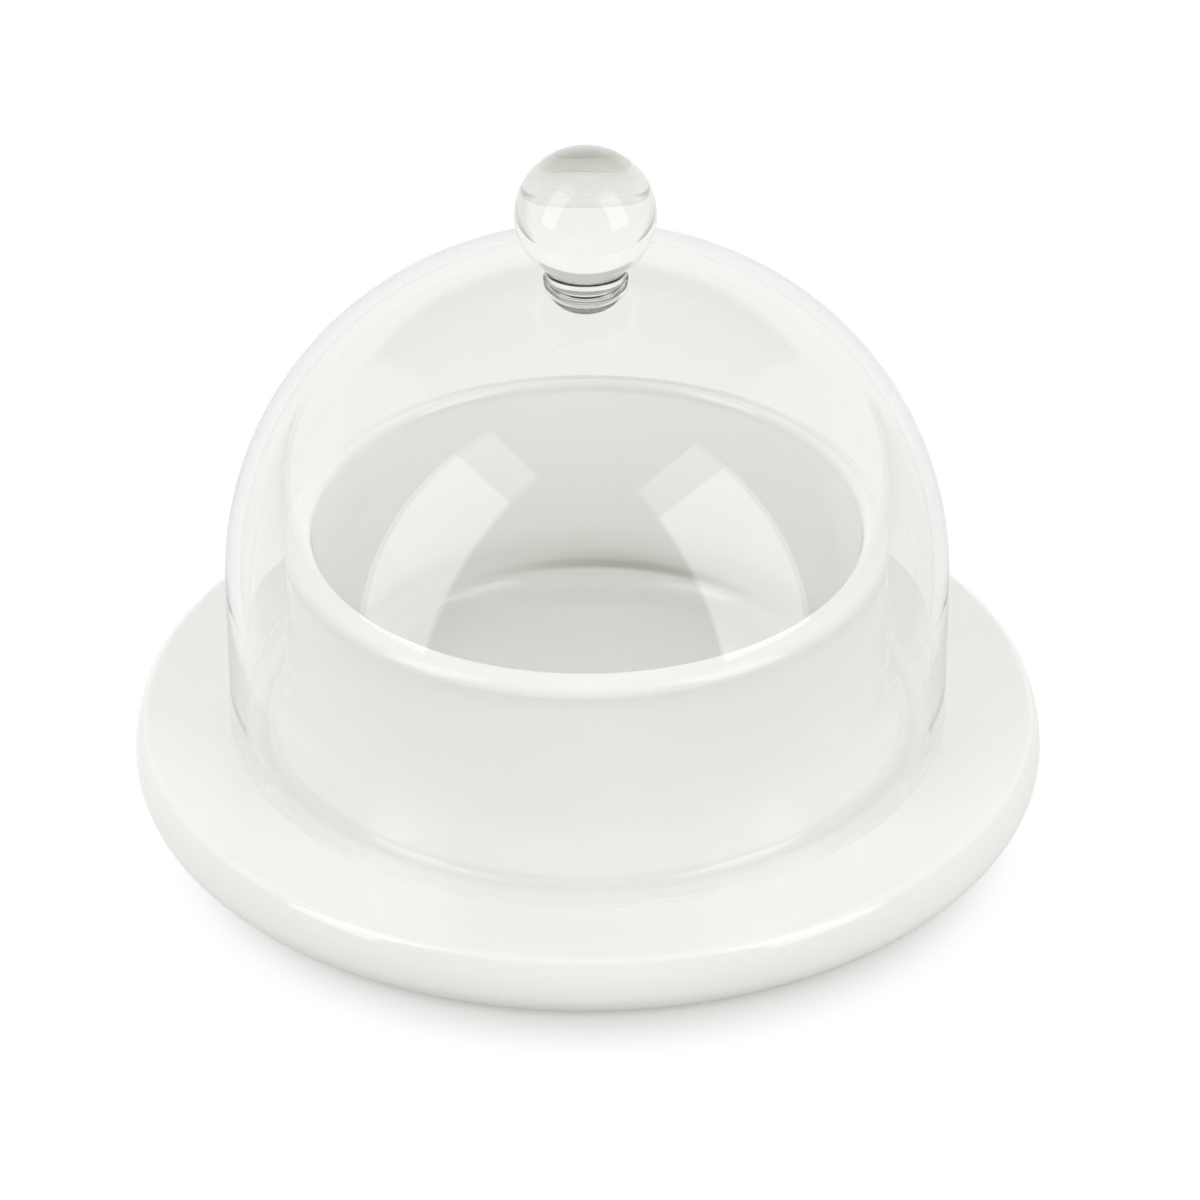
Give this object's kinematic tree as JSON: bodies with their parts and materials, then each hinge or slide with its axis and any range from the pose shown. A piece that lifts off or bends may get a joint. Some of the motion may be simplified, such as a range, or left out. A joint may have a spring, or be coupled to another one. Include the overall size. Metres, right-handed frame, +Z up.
{
  "type": "covered butter dish",
  "caption": "Round white porcelain plate with a bowl cast in its middle for butter, covered by a clear glass dome that lifts off by its glass ball knob.",
  "frame": {"origin": "on the table, at the middle of the plate", "axes": "+Z up along the axis on which plate, bowl, dome and knob are turned; the object is the same all round, so X and Y are free"},
  "size_m": [0.16, 0.16, 0.121],
  "materials": {
    "porcelain": "clear gloss glaze over white porcelain, left bare on the foot ring",
    "glass": "clear blown glass, solid in the knob and fire-polished on the foot"
  },
  "bodies": {
    "dish": {"porcelain_dish": "porcelain"},
    "cover": {"glass_dome": "glass", "ball_knob": "glass"}
  },
  "joints": [
    {"name": "cover_lift", "type": "slide", "parent": "dish", "child": "cover", "axis": [0, 0, 1], "range_m": [0, 0.07]}
  ]
}
